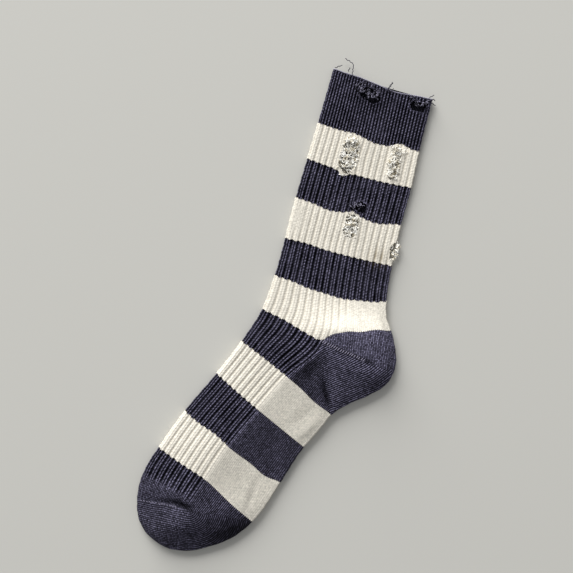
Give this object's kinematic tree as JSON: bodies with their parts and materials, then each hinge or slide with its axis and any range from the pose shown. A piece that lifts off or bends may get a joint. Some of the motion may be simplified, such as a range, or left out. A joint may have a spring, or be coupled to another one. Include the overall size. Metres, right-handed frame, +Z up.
{
  "type": "worn striped crew sock",
  "caption": "Worn ribbed crew sock lying flat on its side, with wide navy and cream bands, a plain heel and toe, laddered holes and frayed yarn at the cuff.",
  "frame": {"origin": "on the table, under the middle of the sock's box", "axes": "+Y up the leg towards the cuff, +X to the back of the heel, +Z up, away from the table"},
  "size_m": [0.1611, 0.3635, 0.0083],
  "materials": {
    "navy_knit": "matte ribbed cotton knit, navy with a slight violet cast",
    "cream_knit": "matte ribbed cotton knit, warm cream",
    "navy_yarn": "loose curly cotton yarn, navy"
  },
  "bodies": {
    "root": {"cuff_navy": "navy_knit", "leg_cream_upper": "cream_knit", "leg_navy_upper": "navy_knit", "leg_cream_lower": "cream_knit", "leg_navy_lower": "navy_knit", "ankle_cream": "cream_knit", "heel_navy": "navy_knit", "foot_cream_back": "cream_knit", "foot_navy": "navy_knit", "foot_cream_front": "cream_knit", "toe_navy": "navy_knit", "fray_middle": "navy_yarn", "fray_back": "navy_yarn"}
  },
  "joints": []
}
